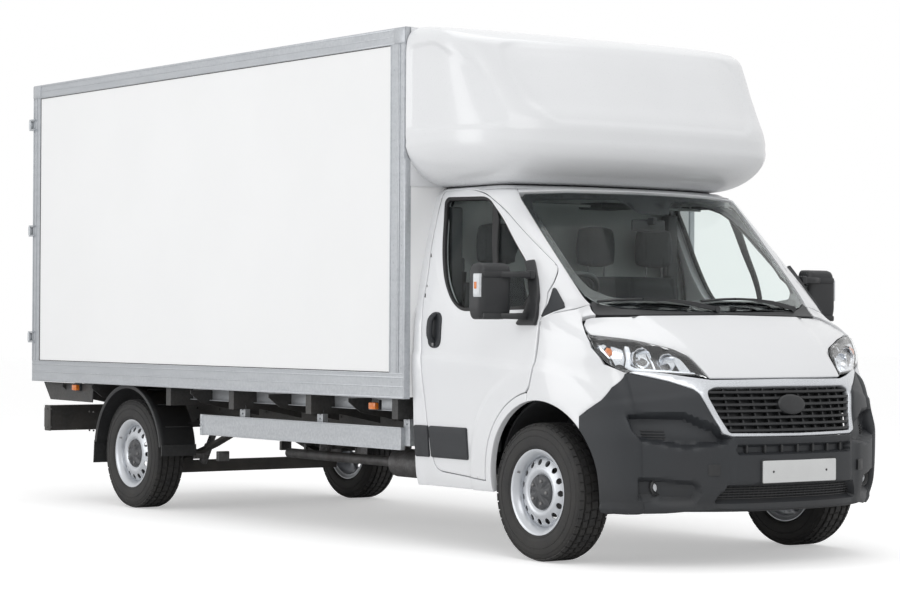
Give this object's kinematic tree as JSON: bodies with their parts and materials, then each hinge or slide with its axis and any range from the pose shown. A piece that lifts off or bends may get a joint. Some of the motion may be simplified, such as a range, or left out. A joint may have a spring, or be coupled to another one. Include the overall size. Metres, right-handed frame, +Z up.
{
  "type": "box truck",
  "caption": "Box truck with a two-door cab, a rounded pod over the cab, a panelled box body with twin rear doors, steered front wheels and opening bonnet.",
  "frame": {"origin": "on the ground, halfway along the vehicle and on its centre plane", "axes": "+Z up, the cab faces -Y, +X is the vehicle's left side"},
  "size_m": [2.624, 6.757, 2.95],
  "materials": {
    "white_paint": "gloss white",
    "white_panel": "smooth white laminate",
    "alloy_rail": "satin extrusion",
    "chassis_paint": "semi-matt black",
    "engine_metal": "rough",
    "black_plastic": "grained",
    "exhaust_steel": "dull",
    "floor_mat": "ribbed mat",
    "dark_plastic": "grained dark grey",
    "grille_plastic": "grained",
    "lamp_cover": "clear cover over bright bowls",
    "tinted_glass": "green tint",
    "dash_plastic": "fine grain",
    "seat_fabric": "woven cloth",
    "load_floor": "resin-faced plywood",
    "cast_metal": "rough cast",
    "tyre_rubber": "moulded tread",
    "wheel_steel": "silver paint"
  },
  "bodies": {
    "chassis": {"frame_rails": "chassis_paint", "frame_crossmembers": "chassis_paint", "floor_bearers": "chassis_paint", "front_subframe": "chassis_paint", "rear_axle": "chassis_paint", "engine_block": "engine_metal", "fuel_tank": "black_plastic", "exhaust": "exhaust_steel", "cab_floor": "floor_mat", "cab_shell": "white_paint", "front_wings": "white_paint", "front_bumper": "dark_plastic", "grille": "grille_plastic", "headlamps": "lamp_cover", "windscreen": "tinted_glass", "scuttle_panel": "black_plastic", "dashboard": "dash_plastic", "steering_wheel": "dash_plastic", "driver_seat": "seat_fabric", "passenger_bench": "seat_fabric", "box_floor": "load_floor", "box_sides": "white_panel", "box_front_wall": "white_panel", "box_roof": "white_panel", "luton_pod": "white_panel", "box_frame": "alloy_rail", "side_guards": "alloy_rail", "rear_mudguards": "black_plastic", "rear_bumper": "chassis_paint"},
    "cab_door_right": {"door_right": "white_paint", "door_glass_right": "tinted_glass", "mirror_right": "dark_plastic"},
    "cab_door_left": {"door_left": "white_paint", "door_glass_left": "tinted_glass", "mirror_left": "dark_plastic"},
    "hood": {"bonnet": "white_paint"},
    "box_door_right": {"rear_door_right": "white_panel"},
    "box_door_left": {"rear_door_left": "white_panel"},
    "hub_right": {"knuckle_right": "cast_metal"},
    "hub_left": {"knuckle_left": "cast_metal"},
    "front_wheel_right": {"front_tyre_right": "tyre_rubber", "front_rim_right": "wheel_steel"},
    "front_wheel_left": {"front_tyre_left": "tyre_rubber", "front_rim_left": "wheel_steel"},
    "rear_wheel_right": {"rear_tyre_right": "tyre_rubber", "rear_rim_right": "wheel_steel"},
    "rear_wheel_left": {"rear_tyre_left": "tyre_rubber", "rear_rim_left": "wheel_steel"}
  },
  "joints": [
    {"name": "cab_door_right_hinge", "type": "hinge", "parent": "chassis", "child": "cab_door_right", "pos_m": [-1.037, -2.4625, 1.12], "axis": [0, 0, 1], "range_deg": [0, 70]},
    {"name": "cab_door_left_hinge", "type": "hinge", "parent": "chassis", "child": "cab_door_left", "pos_m": [1.037, -2.4625, 1.12], "axis": [0, 0, -1], "range_deg": [0, 70]},
    {"name": "bonnet_hinge", "type": "hinge", "parent": "chassis", "child": "hood", "pos_m": [0, -2.6885, 1.312], "axis": [-1, 0, 0], "range_deg": [0, 42]},
    {"name": "rear_door_right_hinge", "type": "hinge", "parent": "chassis", "child": "box_door_right", "pos_m": [-1.106, 3.3675, 1.91], "axis": [0, 0, 1], "range_deg": [0, 265]},
    {"name": "rear_door_left_hinge", "type": "hinge", "parent": "chassis", "child": "box_door_left", "pos_m": [1.106, 3.3675, 1.91], "axis": [0, 0, -1], "range_deg": [0, 265]},
    {"name": "steer_left", "type": "hinge", "parent": "chassis", "child": "hub_left", "pos_m": [0.87, -2.4285, 0.37], "axis": [0, 0, 1], "range_deg": [-35, 35]},
    {"name": "steer_right", "type": "hinge", "parent": "chassis", "child": "hub_right", "pos_m": [-0.87, -2.4285, 0.37], "axis": [0, 0, 1], "range_deg": [-35, 35]},
    {"name": "front_wheel_left_spin", "type": "hinge", "parent": "hub_left", "child": "front_wheel_left", "pos_m": [0.898, -2.4285, 0.37], "axis": [1, 0, 0], "continuous": true},
    {"name": "front_wheel_right_spin", "type": "hinge", "parent": "hub_right", "child": "front_wheel_right", "pos_m": [-0.898, -2.4285, 0.37], "axis": [1, 0, 0], "continuous": true},
    {"name": "rear_wheel_left_spin", "type": "hinge", "parent": "chassis", "child": "rear_wheel_left", "pos_m": [0.877, 2.0715, 0.37], "axis": [1, 0, 0], "continuous": true},
    {"name": "rear_wheel_right_spin", "type": "hinge", "parent": "chassis", "child": "rear_wheel_right", "pos_m": [-0.877, 2.0715, 0.37], "axis": [1, 0, 0], "continuous": true}
  ],
  "couplings": [
    {"joint": "steer_right", "follows": "steer_left", "ratio": 1}
  ]
}
